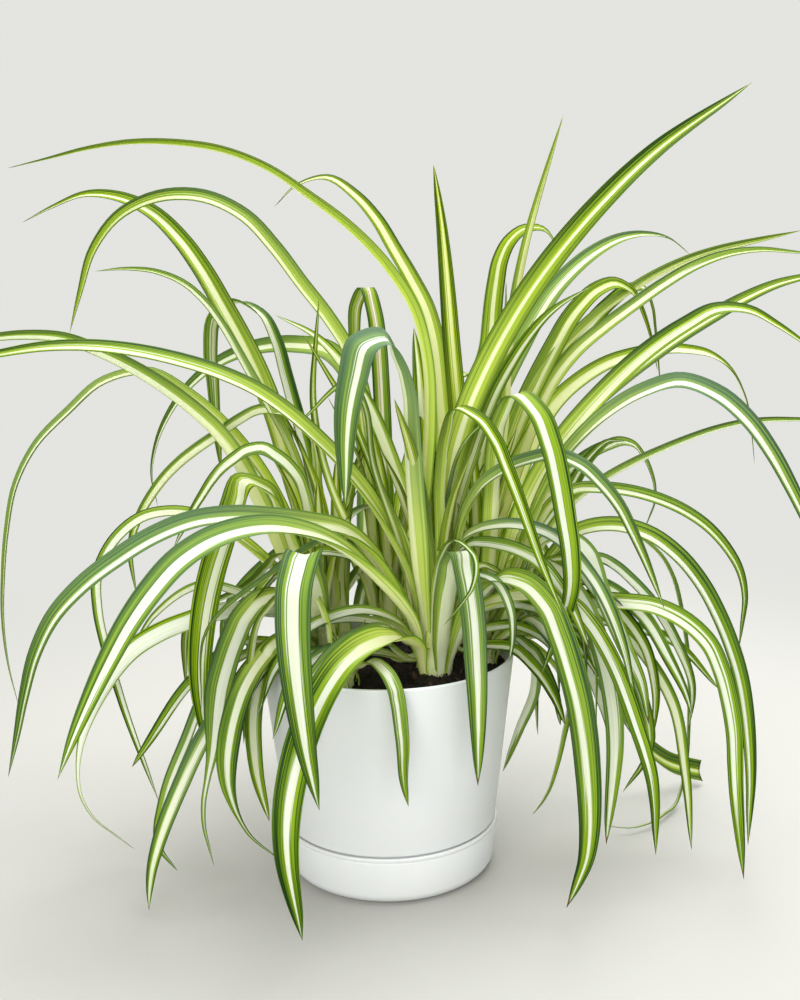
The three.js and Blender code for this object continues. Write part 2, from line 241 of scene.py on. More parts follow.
def drilled(piece, places, radius, low, high):
    """Cuts upright round holes through a piece, and leaves it a plain mesh."""
    bits = bmesh.new()
    for x, y in places:
        made = bmesh.ops.create_cone(
            bits, cap_ends=True, segments=24, radius1=radius, radius2=radius, depth=high - low)
        bmesh.ops.translate(bits, verts=made["verts"], vec=(x, y, (low + high) / 2))
    cutter = in_scene("drill", plain_mesh("drill", bits))
    cut = piece.modifiers.new("holes", "BOOLEAN")
    cut.object = cutter
    cut.operation = "DIFFERENCE"
    seen = piece.evaluated_get(bpy.context.evaluated_depsgraph_get())
    mesh = bpy.data.meshes.new_from_object(seen)
    piece.modifiers.remove(cut)
    piece.data = mesh
    bpy.data.objects.remove(cutter)


pot = turned("pot_shell", [
    (0, POT_FLOOR),
    (neck - FOOT_RING_INNER, POT_FLOOR),
    (neck - FOOT_RING_INNER, pot_low.z),
    (neck - FOOT_RING_OUTER, pot_low.z),
    (neck - 3 * MM, 9 * MM),
    (neck, rise - 2 * MM),
    (neck, WAIST_HEIGHT - 0.3 * MM),
    (neck + 0.3 * MM, WAIST_HEIGHT),
    *arc((WAIST_RADIUS - WAIST_ROUND, WAIST_HEIGHT + WAIST_ROUND), WAIST_ROUND, -90, -6, 4),
    *arc((rim - WALL / 2, pot_top - WALL / 2), WALL / 2, -4, 184, 14),
    (WAIST_RADIUS - WALL, WAIST_HEIGHT + WALL),
    (neck - WALL, WAIST_HEIGHT - 1 * MM),
    (neck - WALL - 3 * MM, POT_FLOOR + WALL),
    (0, POT_FLOOR + WALL),
])
turns = [FULL_CIRCLE * i / DRAIN_HOLES for i in range(DRAIN_HOLES)]
drain_places = [(DRAIN_RING * math.cos(t), DRAIN_RING * math.sin(t)) for t in turns]
drilled(pot, drain_places, DRAIN_RADIUS, 0.5 * MM, POT_FLOOR + 6 * MM)
placed(pot, white_plastic, "pot_plastic", "pot")

# ---- Potting soil --------------------------------------------------------------------------
# The real soil is a dark peat and bark mix, poured in loose and settled to about 10 mm below the
# rim, with crumbs and bark chips lying on top of it.

SOIL_RINGS = 90  # rings of faces from the wall to the middle
SOIL_STEPS = 240  # faces round each ring
SOIL_LOWER = 5 * MM  # how much lower it would lie at the rim than in the middle
LUMP_LIMIT = 3 * MM  # how far a lump may stand above the highest soil

soil_low, soil_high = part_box("potting_soil")


def soil_height(x, y):
    """Level of the settled soil, before its crumbs."""
    return soil_high.z - SOIL_LOWER * (x * x + y * y) / (rim * rim)


def soil_body():
    """The filled inside of the pot, its top broken up into lumps and crumbs."""
    edge = soil_high.x
    profile = [
        (0, soil_low.z),
        (neck - WALL - 4 * MM, soil_low.z),
        (neck - WALL - 1 * MM, WAIST_HEIGHT),
        (WAIST_RADIUS - WALL - 1 * MM, WAIST_HEIGHT + 3.5 * MM),
    ]
    for ring in range(SOIL_RINGS, -1, -1):
        out = edge * ring / SOIL_RINGS
        profile.append((out, soil_height(out, 0)))
    body = turned("soil_fill", profile, SOIL_STEPS)
    for vertex in body.data.vertices:
        x, y, z = vertex.co
        on_top = z > 0.9 * soil_high.z
        if on_top:
            out = math.hypot(x, y) / edge
            fade = min(1, (1 - out) * 12)  # level where it meets the wall
            place = Vector((x, y, 0))
            clods = noise.noise(place * 60) * 3.0
            lumps = noise.noise(place * 190) * 1.6
            crumbs = abs(noise.noise(place * 520)) * 2.6
            raised = (clods + lumps + crumbs) * fade * MM
            vertex.co.z = min(z + raised, soil_high.z + LUMP_LIMIT)
    return body


def potting_mix(name, dark, light):
    """Damp peat: near black, mottled brown, rough, with a fine crumb."""
    material, tree, shader = finish_of(name)
    place = node(tree, "ShaderNodeTexCoord").outputs["Object"]
    patches = ramped(tree, grain(tree, place, 380, 6, 0.7), 0.35, 0.7)
    tree.links.new(mixed(tree, patches, dark, light), shader.inputs["Base Color"])
    damp = ramped(tree, grain(tree, place, 90, 3), 0.3, 0.7, 0.7, 0.98)
    tree.links.new(damp, shader.inputs["Roughness"])
    bumped(tree, shader, grain(tree, place, 1500, 6, 0.75), 0.0012, 0.9)
    shader.inputs["Specular IOR Level"].default_value = 0.25
    return material


peat = potting_mix("peat", (0.005, 0.004, 0.003, 1), (0.030, 0.020, 0.013, 1))
placed(soil_body(), peat, "soil", "potting_soil")


ANY_TURN = (6.28, 6.28, 6.28)  # radians, as good as a full turn about each axis


def growing_tree(title, inputs):
    """An empty Geometry Nodes tree from geometry to geometry, its other inputs by name and kind."""
    tree = bpy.data.node_groups.new(title, "GeometryNodeTree")
    for name, kind in {"Geometry": "Geometry", **inputs}.items():
        tree.interface.new_socket(name, in_out="INPUT", socket_type="NodeSocket" + kind)
    tree.interface.new_socket("Geometry", in_out="OUTPUT", socket_type="NodeSocketGeometry")
    return tree


def scatter_tree():
    """Scatters crumbs over a surface, each turned and sized its own way."""
    tree = growing_tree("Scattered crumbs", {
        "Crumb": "Object",
        "Crumbs per square metre": "Float",
        "Smallest": "Float",
        "Largest": "Float",
        "Seed": "Int",
        "Material": "Material",
    })
    given = node(tree, "NodeGroupInput").outputs
    spots = node(tree, "GeometryNodeDistributePointsOnFaces", {
        "Mesh": given["Geometry"], "Density": given["Crumbs per square metre"], "Seed": given["Seed"]})
    crumb = node(tree, "GeometryNodeObjectInfo", {"Object": given["Crumb"]}).outputs["Geometry"]
    turn = node(tree, "FunctionNodeRandomValue", {
        0: (0, 0, 0), 1: ANY_TURN, "Seed": given["Seed"]}, data_type="FLOAT_VECTOR")
    size = node(tree, "FunctionNodeRandomValue", {
        2: given["Smallest"], 3: given["Largest"], "Seed": given["Seed"]}, data_type="FLOAT")
    laid = node(tree, "GeometryNodeInstanceOnPoints", {
        "Points": spots.outputs["Points"], "Instance": crumb,
        "Rotation": turn.outputs[0], "Scale": size.outputs[1]})
    real = node(tree, "GeometryNodeRealizeInstances", {"Geometry": laid.outputs["Instances"]})
    dressed = node(tree, "GeometryNodeSetMaterial", {
        "Geometry": real.outputs["Geometry"], "Material": given["Material"]})
    node(tree, "NodeGroupOutput", {"Geometry": dressed.outputs["Geometry"]})
    return tree


def grown(name, base_mesh, tree, **inputs):
    """The plain mesh object that a Geometry Nodes tree makes from a mesh, its inputs by name."""
    carrier = in_scene(name, base_mesh)
    modifier = carrier.modifiers.new("grown", "NODES")
    modifier.node_group = tree
    for item in tree.interface.items_tree:
        key = item.name.replace(" ", "_").lower()
        if item.in_out == "INPUT" and key in inputs:
            modifier[item.identifier] = inputs[key]
    seen = carrier.evaluated_get(bpy.context.evaluated_depsgraph_get())
    mesh = bpy.data.meshes.new_from_object(seen)
    mesh.name = name
    bpy.data.objects.remove(carrier)
    return in_scene(name, mesh)


def chip(name, stretch):
    """One rough chip, about 1 across, as the shape that is scattered."""
    lump = bmesh.new()
    bmesh.ops.create_icosphere(lump, subdivisions=1, radius=0.5)
    for vertex in lump.verts:
        push = 1 + 0.5 * noise.noise(vertex.co * 3 + Vector(stretch))
        vertex.co = Vector([c * s * push for c, s in zip(vertex.co, stretch)])
    return bpy.data.objects.new(name, plain_mesh(name, lump))


def soil_top_patch():
    """The disc of settled soil, a little short of the wall, that the loose crumbs lie on."""
    disc = bmesh.new()
    reach = soil_high.x - 6 * MM
    bmesh.ops.create_grid(disc, x_segments=24, y_segments=24, size=reach)
    far = [v for v in disc.verts if v.co.xy.length > reach]
    bmesh.ops.delete(disc, geom=far, context="VERTS")
    for vertex in disc.verts:
        vertex.co.z = soil_height(vertex.co.x, vertex.co.y) + 1.2 * MM
    return plain_mesh("soil_top", disc)


crumb_tree = scatter_tree()
bark = potting_mix("bark", (0.016, 0.010, 0.006, 1), (0.080, 0.046, 0.024, 1))
# Each kind: its shape's stretch along X, Y and Z, how many lie on a square metre, the size of the
# smallest and of the largest, and the seed of its scatter.
for crumb_name, stretch, density, smallest, largest, seed, material in [
    ("soil_crumbs", (1, 0.8, 0.7), 60000, 1.2 * MM, 3.2 * MM, 5, peat),
    ("soil_bark_chips", (1.6, 0.7, 0.35), 9000, 2.5 * MM, 6.0 * MM, 11, bark),
]:
    crumbs = grown(
        crumb_name, soil_top_patch(), crumb_tree, crumb=chip(crumb_name + "_shape", stretch),
        crumbs_per_square_metre=density, smallest=smallest, largest=largest, seed=seed,
        material=material)
    placed(crumbs, material, "soil")

# ---- Crowns --------------------------------------------------------------------------------
# Each real crown is a short fleshy stem, hidden by the leaf bases that clasp it, with thick
# white roots that run down and outwards through the soil.

MERGE = 1e-6  # metres within which two corners are the same one
SOIL_SHADE = (8 * MM, 4 * MM)  # how far below and above soil level the roots' cream turns to green


def joined(cad_node):
    """A CAD node's surface with its loose triangles joined up."""
    solid = bmesh.new()
    solid.from_mesh(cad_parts[cad_node].data)
    bmesh.ops.remove_doubles(solid, verts=solid.verts, dist=MERGE)
    return solid


def crown_flesh():
    """Pale green stem tissue above the soil, turning to cream roots below it."""
    material, tree, shader = finish_of("crown_flesh")
    place = node(tree, "ShaderNodeTexCoord").outputs["Object"]
    height = node(tree, "ShaderNodeSeparateXYZ", {0: place}).outputs["Z"]
    mottle = grain(tree, place, 140, 4)
    green = mixed(tree, mottle, (0.42, 0.50, 0.18, 1), (0.58, 0.64, 0.33, 1))
    cream = mixed(tree, mottle, (0.62, 0.56, 0.42, 1), (0.80, 0.76, 0.64, 1))
    above = ramped(tree, height, soil_high.z - SOIL_SHADE[0], soil_high.z + SOIL_SHADE[1])
    tree.links.new(mixed(tree, above, cream, green), shader.inputs["Base Color"])
    tree.links.new(ramped(tree, mottle, 0.3, 0.7, 0.4, 0.62), shader.inputs["Roughness"])
    bumped(tree, shader, grain(tree, place, 420, 3), 0.0004, 0.6)
    shader.inputs["Subsurface Weight"].default_value = 0.2
    shader.inputs["Subsurface Scale"].default_value = 0.003
    return material


flesh = crown_flesh()
crown_names = sorted(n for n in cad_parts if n.startswith("crown_"))
crown_axis = {}  # the top of each crown's stem, which stands upright below it
for crown_name in crown_names:
    stem = joined(crown_name)
    crown_axis[crown_name] = max(stem.verts, key=lambda v: v.co.z).co.copy()
    bmesh.ops.subdivide_edges(stem, edges=stem.edges, cuts=1, use_grid_fill=True)
    bmesh.ops.smooth_vert(
        stem, verts=stem.verts, factor=0.5, use_axis_x=True, use_axis_y=True, use_axis_z=True)
    stem_name = crown_name + "_stem"
    stem_mesh = plain_mesh(stem_name, stem)
    stem_mesh.shade_smooth()
    placed(in_scene(stem_name, stem_mesh), flesh, "crown", crown_name)

# ---- Leaves --------------------------------------------------------------------------------
# Each real leaf is one channelled strap that clasps the crown, rises, arches over and tapers to
# a fine point: pale at its base, then cream down the middle between green margins.

STATIONS = 84  # rings of points along a blade
ROUND_BLADE = 20  # points round each ring
CUT_END = 3 * MM  # a tip that stands out less than this is the middle of a cut end


def stations_of(cad_node):
    """Rows of centre, half width and channel depth vectors along a CAD leaf, base first."""
    solid = joined(cad_node)
    # The middle of the leaf's base is the corner with four edges, all of them short.
    four_edged = [v for v in solid.verts if len(v.link_edges) == 4]
    base = min(four_edged, key=lambda v: max(e.calc_length() for e in v.link_edges))
    rings = []
    ring = {base}
    seen = {base}
    while ring:
        ring = {e.other_vert(v) for v in ring for e in v.link_edges} - seen
        seen |= ring
        rings.append([v.co.copy() for v in ring])
    rings.pop()
    tip = rings.pop()[0]
    middles = [sum(r, Vector()) / 4 for r in rings] + [tip]
    rows = []
    for i, corners in enumerate(rings):
        forward = middles[i + 1] - middles[max(i - 1, 0)]
        pairs = [(a, b) for a in corners for b in corners if a is not b]
        left, right = max(pairs, key=lambda p: (p[0] - p[1]).length)
        ridge = [c for c in corners if c is not left and c is not right]
        centre = (left + right) / 2
        depth = centre - (ridge[0] + ridge[1]) / 2
        if (right - left).dot(forward.cross(depth)) < 0:
            left, right = right, left
        rows.append([*centre, *((right - left) / 2), *depth])
    solid.free()
    if (tip - middles[-2]).length > CUT_END:
        rows.append([*tip, 0, 0, 0, 0, 0, 0])
    return np.array(rows)


def smoothed(rows, count):
    """The rows carried smoothly along the path of their first three numbers, at even steps."""
    steps = np.linalg.norm(np.diff(rows[:, :3], axis=0), axis=1)
    at = np.concatenate([[0], np.cumsum(steps)])
    slope = np.gradient(rows, at, axis=0)
    want = np.linspace(0, at[-1], count)
    i = np.clip(np.searchsorted(at, want, side="right") - 1, 0, len(at) - 2)
    gap = (at[i + 1] - at[i])[:, None]
    t = (want - at[i])[:, None] / gap
    return (
        (2 * t**3 - 3 * t**2 + 1) * rows[i]
        + (t**3 - 2 * t**2 + t) * gap * slope[i]
        + (3 * t**2 - 2 * t**3) * rows[i + 1]
        + (t**3 - t**2) * gap * slope[i + 1]
    )


def blade_tree():
    """Presses a round tube, one ring a station of the guide, into a channelled blade.

    The guide's points carry the vectors from the blade's centre to its right edge (side), from
    its channel up to its edges (rise) and half through its thickness (body)."""
    tree = growing_tree("Leaf blade", {
        "Stations": "Int",
        "Points round": "Int",
        "Channel roundness": "Float",
        "Material": "Material",
    })
    given = node(tree, "NodeGroupInput").outputs
    spans = worked(tree, "SUBTRACT", given["Stations"], 1.0)
    tube = node(tree, "GeometryNodeMeshCylinder", {
        "Vertices": given["Points round"], "Side Segments": spans, "Radius": 1.0, "Depth": spans})
    tube_place = node(tree, "GeometryNodeInputPosition").outputs[0]
    across, through, height = node(tree, "ShaderNodeSeparateXYZ", {0: tube_place}).outputs
    station = worked(tree, "SUBTRACT", worked(tree, "MULTIPLY", spans, 0.5), height)

    def carried(field):
        """A vector of the guide at this ring's station."""
        sample = node(tree, "GeometryNodeSampleIndex", {
            "Geometry": given["Geometry"], "Value": field,
            "Index": worked(tree, "ROUND", station)}, data_type="FLOAT_VECTOR")
        return sample.outputs[0]

    def scaled(vector, amount):
        made = node(tree, "ShaderNodeVectorMath", {0: vector, "Scale": amount}, operation="SCALE")
        return made.outputs[0]

    def summed(first, second):
        return node(tree, "ShaderNodeVectorMath", {0: first, 1: second}, operation="ADD").outputs[0]

    place = carried(node(tree, "GeometryNodeInputPosition").outputs[0])
    bend = worked(tree, "POWER", worked(tree, "ABSOLUTE", across), given["Channel roundness"])
    amounts = {"side": across, "rise": worked(tree, "SUBTRACT", bend, 1.0), "body": through}
    for name, amount in amounts.items():
        field = node(tree, "GeometryNodeInputNamedAttribute", {"Name": name}, data_type="FLOAT_VECTOR")
        place = summed(place, scaled(carried(field.outputs[0]), amount))

    shape = tube.outputs["Mesh"]
    kept = {
        "across": across,
        "through": through,
        "along": worked(tree, "DIVIDE", station, spans),
    }
    for name, value in kept.items():
        shape = node(tree, "GeometryNodeStoreNamedAttribute", {
            "Geometry": shape, "Name": name, "Value": value}, data_type="FLOAT", domain="POINT").outputs[0]
    shape = node(tree, "GeometryNodeStoreNamedAttribute", {
        "Geometry": shape, "Name": "OFBake", "Value": tube.outputs["UV Map"]},
        data_type="FLOAT2", domain="CORNER").outputs[0]
    shape = node(tree, "GeometryNodeSetPosition", {"Geometry": shape, "Position": place}).outputs[0]
    shape = node(tree, "GeometryNodeMergeByDistance", {
        "Geometry": shape, "Distance": 2 * MERGE}).outputs[0]
    shape = node(tree, "GeometryNodeRealizeInstances", {"Geometry": shape}).outputs[0]
    shape = node(tree, "GeometryNodeSetMaterial", {
        "Geometry": shape, "Material": given["Material"]}).outputs[0]
    node(tree, "NodeGroupOutput", {"Geometry": shape})
    return tree


def leaf_skin():
    """The variegated blade: a cream stripe between green margins that darken to the edge in fine
    parallel strands, under a blue-green sheen that is painted reflection of the light. It has a pale
    young base, a paler underside, a few brown specks and a dry brown tip. Light comes through it."""
    material, tree, shader = finish_of("leaf_skin")

    def of(name):
        return node(tree, "ShaderNodeAttribute", attribute_name=name).outputs["Fac"]

    def strands(scale, detail, run):
        """Noise drawn out into strands along the blade."""
        vector = node(tree, "ShaderNodeCombineXYZ", {
            0: across, 1: worked(tree, "MULTIPLY", along, run), 2: worked(tree, "MULTIPLY", seed, 57.0)})
        return grain(tree, vector.outputs[0], scale, detail, 0.6)

    across, along, through, seed = of("across"), of("along"), of("through"), of("seed")
    tint = of("tint")
    fine = strands(6, 1, 0.25)
    hair = strands(15, 1, 0.12)
    drift = worked(tree, "MULTIPLY", worked(tree, "SUBTRACT", strands(1.5, 0, 0.8), 0.5), 0.5)
    middle = worked(tree, "SUBTRACT", worked(tree, "ADD", across, drift), of("shift"))
    frayed = worked(tree, "MULTIPLY", worked(tree, "SUBTRACT", fine, 0.5), 0.9)
    ragged = worked(tree, "ADD", worked(tree, "ABSOLUTE", middle), frayed)
    stripe = worked(tree, "MULTIPLY", of("stripe"), ramped(tree, along, 0.70, 1.0, 1.0, 0.35))
    stripe = worked(tree, "ADD", stripe, ramped(tree, along, 0.10, 0.55, 0.30, 0.0))
    outside = worked(tree, "SUBTRACT", ragged, stripe)
    cream_share = ramped(tree, outside, -0.04, 0.05, 1.0, 0.0)
    veins = worked(tree, "MULTIPLY", worked(tree, "SUBTRACT", hair, 0.5), 2.3)
    darkness = worked(tree, "ADD", ramped(tree, outside, 0.0, 0.8, 0.15, 0.80), veins)
    edge = ramped(tree, worked(tree, "ABSOLUTE", across), 0.84, 0.95)

    lime = mixed(tree, tint, (0.340, 0.495, 0.012, 1), (0.490, 0.605, 0.008, 1))
    leaf_green = mixed(tree, tint, (0.125, 0.250, 0.002, 1), (0.205, 0.310, 0.001, 1))
    deep = mixed(tree, tint, (0.012, 0.050, 0.002, 1), (0.036, 0.085, 0.001, 1))
    green = mixed(tree, ramped(tree, darkness, 0.15, 0.45), lime, leaf_green)
    green = mixed(tree, ramped(tree, darkness, 0.52, 0.86), green, deep)
    warm_cream = mixed(tree, tint, (0.82, 0.85, 0.70, 1), (0.72, 0.75, 0.32, 1))
    warm_cream = mixed(tree, of("blush"), warm_cream, (0.50, 0.36, 0.20, 1))
    white = mixed(tree, tint, (0.88, 0.90, 0.84, 1), (0.80, 0.82, 0.46, 1))
    cream = mixed(tree, ramped(tree, hair, 0.40, 0.55), warm_cream, white)
    # Painted sheen: blue-green mixed into the margins, a painted reflection, fading towards the tip
    bloom = worked(tree, "MULTIPLY", ramped(tree, along, 0.15, 0.40), of("bloom"))
    bloom = worked(tree, "MULTIPLY", bloom, ramped(tree, along, 0.60, 0.90, 1.0, 0.3))
    painted_sheen_green = (0.20, 0.33, 0.21, 1)
    green = mixed(tree, bloom, green, painted_sheen_green)
    blade = mixed(tree, cream_share, green, cream)

    young_light, young_dark = (0.80, 0.90, 0.22, 1), (0.50, 0.66, 0.04, 1)
    young_green = mixed(tree, ramped(tree, darkness, 0.2, 1.0), young_light, young_dark)
    young_cream = (0.96, 0.96, 0.58, 1)
    young_edge = (0.18, 0.38, 0.02, 1)
    young = mixed(tree, cream_share, young_green, young_cream)
    young = mixed(tree, worked(tree, "MULTIPLY", edge, 0.8), young, young_edge)
    grown_up = worked(tree, "DIVIDE", along, of("youth"))
    base_share = worked(tree, "MULTIPLY", ramped(tree, grown_up, 0.3, 1.1, 1.0, 0.0), of("pale"))
    blade = mixed(tree, base_share, blade, young)

    underside = (0.60, 0.74, 0.22, 1)
    speck_brown = (0.30, 0.26, 0.10, 1)
    dead_brown = (0.20, 0.115, 0.055, 1)
    under = ramped(tree, through, -0.08, 0.08, 0.14, 0.0)
    blade = mixed(tree, under, blade, underside)
    place = node(tree, "ShaderNodeTexCoord").outputs["Object"]
    specks = ramped(tree, grain(tree, place, 190, 4, 0.6), 0.74, 0.80, 0.0, 0.35)
    blade = mixed(tree, specks, blade, speck_brown)
    reach = worked(tree, "ADD", along, worked(tree, "MULTIPLY", fine, 0.012))
    dry_from = worked(tree, "SUBTRACT", 1.0, of("dry"))
    dead = ramped(tree, worked(tree, "SUBTRACT", reach, dry_from), 0.0, 0.012)
    blade = mixed(tree, dead, blade, dead_brown)
    tree.links.new(blade, shader.inputs["Base Color"])

    tree.links.new(ramped(tree, fine, 0.3, 0.7, 0.40, 0.55), shader.inputs["Roughness"])
    bumped(tree, shader, hair, 0.0004, 0.5)
    shader.inputs["Specular IOR Level"].default_value = 0.15
    glow = node(tree, "ShaderNodeBsdfTranslucent", {"Color": blade})
    lit = node(tree, "ShaderNodeMixShader", {0: 0.50, 1: shader.outputs[0], 2: glow.outputs[0]})
    tree.links.new(lit.outputs[0], tree.nodes["Material Output"].inputs["Surface"])
    return material


blade_maker = blade_tree()
skin = leaf_skin()
LEAF_THICKNESS = 0.7 * MM
BASE_THICKENING = 1.6  # thickness at the base, in leaf thicknesses
THINNING = 1.1  # what it loses on the way to the tip, in leaf thicknesses
FOOT_SPREAD = 1.0  # how much wider the blade grows where it clasps the crown, as a share
FOOT_DEPTH = 6 * MM  # how far below the soil's surface the clasping foot starts
FOOT_LIMIT = 11 * MM  # how far from the crown's axis it may start
FOOT_HALF_WIDTH = 2.5 * MM  # half its width, at the least
FLAT_BEND = 60  # the channel presses flat where the blade bends more sharply (1/m)
CHANNEL_ROUNDNESS = 1.45  # 1 for a sharp fold down the middle, 2 for a round channel
SUNLIT_HEIGHT = 0.32  # a leaf that peaks above this is yellower, and a lower one greener
SUNLIT_GAIN = 2  # by so much tint for each metre
PAINTED_SHEEN_LOST = 0.8  # share of the painted sheen that the yellowest leaves have lost
YOUNG_SHARE = (0.45, 0.68)  # least and greatest length of the pale base, as a share of the leaf
YOUNG_HEIGHT = 0.20  # the pale base is longer in a leaf that peaks above this
YOUNG_GAIN = 1.2  # by this share for each metre
TINY = 1e-12  # keeps a division by nothing away


def smoothstep(value, low, high):
    """0 up to low, 1 from high on, and a smooth rise between them."""
    t = np.clip((value - low) / (high - low), 0, 1)
    return t * t * (3 - 2 * t)


def with_sheath(rows, axis):
    """Adds the clasping foot of a leaf, from under the soil up to where the blade starts."""
    seat = Vector(rows[0, :3])
    outward = Vector((seat.x - axis.x, seat.y - axis.y, 0))
    reach = outward.length
    outward.normalize()
    foot_height = soil_height(axis.x, axis.y) - FOOT_DEPTH
    right = Vector((outward.y, -outward.x, 0))
    half = max(0.35 * reach, FOOT_HALF_WIDTH)
    sag = reach - math.sqrt(max(reach * reach - half * half, 0))
    foot_reach = min(reach - 0.5 * MM, FOOT_LIMIT) - sag
    centre = Vector((axis.x, axis.y, foot_height)) + outward * foot_reach
    foot_row = [*centre, *(right * half), *(outward * -sag)]
    return np.vstack([foot_row, rows])


def leaf(name, rows, look):
    """One finished leaf from its stations, and how it is marked."""
    axis = crown_axis["crown_" + look["crown"]]
    rows = smoothed(with_sheath(rows, axis), STATIONS)
    along = np.linspace(0, 1, STATIONS)[:, None]
    widen = 1 + FOOT_SPREAD * (1 - smoothstep(along, 0.10, 0.38)) * smoothstep(along, 0.02, 0.12)
    side = rows[:, 3:6] * widen
    rise = rows[:, 6:9] * widen
    peak = rows[:, 2].max()
    ahead = np.gradient(rows[:, :3], axis=0)
    step = np.linalg.norm(ahead, axis=1)[:, None]
    bend = np.linalg.norm(np.gradient(ahead / step, axis=0), axis=1)[:, None] / step
    rise = rise / (1 + (bend / FLAT_BEND) ** 2)
    up = np.cross(side, ahead)
    up[-1] = up[-2]
    up /= np.linalg.norm(up, axis=1)[:, None] + TINY
    body = up * (LEAF_THICKNESS / 2) * (BASE_THICKENING - THINNING * along)
    body[-1] = 0
    guide = bpy.data.meshes.new(name + "_guide")
    guide.from_pydata(rows[:, :3].tolist(), [], [])
    for key, values in {"side": side, "rise": rise, "body": body}.items():
        guide.attributes.new(key, "FLOAT_VECTOR", "POINT").data.foreach_set("vector", values.ravel())
    made = grown(
        name, guide, blade_maker, stations=STATIONS, points_round=ROUND_BLADE,
        channel_roundness=CHANNEL_ROUNDNESS, material=skin)
    tint = min(max(look["tint"] + SUNLIT_GAIN * (peak - SUNLIT_HEIGHT), 0), 1)
    shortest, longest = YOUNG_SHARE
    # The yellower a leaf, the less painted sheen, a painted reflection, lies on its green.
    shown = look | {
        "tint": tint,
        "bloom": look["bloom"] * (1 - PAINTED_SHEEN_LOST * tint),
        "youth": min(max(shortest + YOUNG_GAIN * (peak - YOUNG_HEIGHT), shortest), longest),
    }
    for key in ("seed", "stripe", "shift", "tint", "pale", "youth", "blush", "bloom", "dry"):
        marks = made.data.attributes.new(key, "FLOAT", "POINT").data
        marks.foreach_set("value", [shown[key]] * len(marks))
    made.data.shade_smooth()
    return made


# Marks of the leaves that don't follow chance, each a share: half the width of the cream stripe
# (stripe) and how far it lies to the right (shift), both of half the blade's width; how yellow
# the green is (tint, below 0 to hold a tall leaf back from yellowing); how pale the young base is
# (pale); how much painted sheen, a painted reflection of the light, lies on the green (bloom) and
# how brown the cream (blush); and the dry end of the tip, as a share of the leaf's length (dry).
LOOKS = {
    "leaf_middle_01": {"stripe": 0.20, "tint": 0.9, "dry": 0.0},
    "leaf_middle_03": {"stripe": 0.12, "shift": 0.0, "tint": 0.0, "pale": 0.5},
    "leaf_middle_04": {"stripe": 0.24, "tint": -0.3, "bloom": 0.75},
    "leaf_middle_05": {"stripe": 0.20, "tint": 0.3, "bloom": 0.0},
    "leaf_middle_08": {"stripe": 0.24, "tint": 0.1, "bloom": 0.45},
    "leaf_middle_09": {"stripe": 0.34, "tint": 0.1, "bloom": 0.35},
    "leaf_middle_10": {"stripe": 0.28, "tint": -0.2, "pale": 0.2, "dry": 0.02},
    "leaf_middle_12": {"stripe": 0.27, "tint": -0.1, "pale": 0.3, "bloom": 0.15},
    "leaf_left_front_01": {"stripe": 0.32, "tint": 0.3, "shift": 0.0, "bloom": 0.0},
    "leaf_left_front_02": {"stripe": 0.36, "tint": 0.1, "shift": 0.05, "pale": 0.3, "bloom": 0.25},
    "leaf_left_front_03": {"stripe": 0.34, "tint": 0.0},
    "leaf_left_front_04": {"stripe": 0.70, "tint": 0.0, "pale": 0.0, "shift": 0.0, "bloom": 0.0},
    "leaf_left_front_05": {"dry": 0.05},
    "leaf_left_back_01": {"stripe": 0.24, "tint": -0.4, "pale": 0.0, "blush": 0.4, "bloom": 0.1},
    "leaf_left_back_03": {"stripe": 0.20},
    "leaf_back_02": {"stripe": 0.34, "blush": 1.0, "tint": 0.0, "pale": 0.2, "bloom": 0.1},
    "leaf_right_front_01": {"stripe": 0.24, "tint": -0.1, "shift": 0.0, "bloom": 0.05},
    "leaf_right_front_03": {"stripe": 0.22, "tint": -0.1, "shift": 0.05},
    "leaf_right_front_06": {"stripe": 0.30, "tint": 0.0, "pale": 0.4},
    "leaf_right_front_07": {"stripe": 0.50, "tint": 0.0},
    "leaf_right_front_08": {"stripe": 0.36, "tint": 0.0, "pale": 0.4},
    "leaf_right_front_09": {"stripe": 0.22, "tint": 0.9, "dry": 0.0},
    "slender_middle_18": {"stripe": 0.2, "tint": 0.6, "dry": 0.0},
    "slender_middle_19": {"stripe": 0.2, "tint": 0.6, "dry": 0.0},
    "slender_middle_20": {"stripe": 0.2, "tint": 0.4, "dry": 0.0},
    "slender_right_front_01": {"stripe": 0.6, "tint": 0.3},
    "slender_right_front_06": {"stripe": 0.6, "tint": 0.3},
    "slender_right_front_07": {"stripe": 0.6, "tint": 0.0},
}


def look_of(name, crown):
    """How a leaf is marked: its own set looks, and chance for the rest."""
    chance = random.Random(name)
    look = {
        "crown": crown,
        "seed": chance.random(),
        "stripe": chance.uniform(0.20, 0.44),
        "shift": chance.uniform(-0.10, 0.10),
        "tint": chance.uniform(0.05, 0.55),
        "pale": chance.uniform(0.7, 1.0),
        "blush": 0.0,
        "dry": chance.choice([0.0, 0.0, 0.004, 0.012, 0.02]),
        # share of painted sheen, a painted reflection, on the green
        "bloom": chance.choice([0.05, 0.10, 0.20, 0.35, 0.55]),
    }
    look.update(LOOKS.get(name, {}))
    return look


for leaf_name in sorted(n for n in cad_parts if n.startswith("leaf_")):
    crown = leaf_name.removeprefix("leaf_").rsplit("_", 1)[0]
    blade_name = leaf_name.replace("leaf", "blade")
    piece = leaf(blade_name, stations_of(leaf_name), look_of(leaf_name, crown))
    placed(piece, skin, "leaf", leaf_name)

# ---- Slender leaves ------------------------------------------------------------------------
# Between its main leaves each real crown also carries narrower ones of the same kind, younger or
# older, that clasp it in the same way and hang closer to the pot.

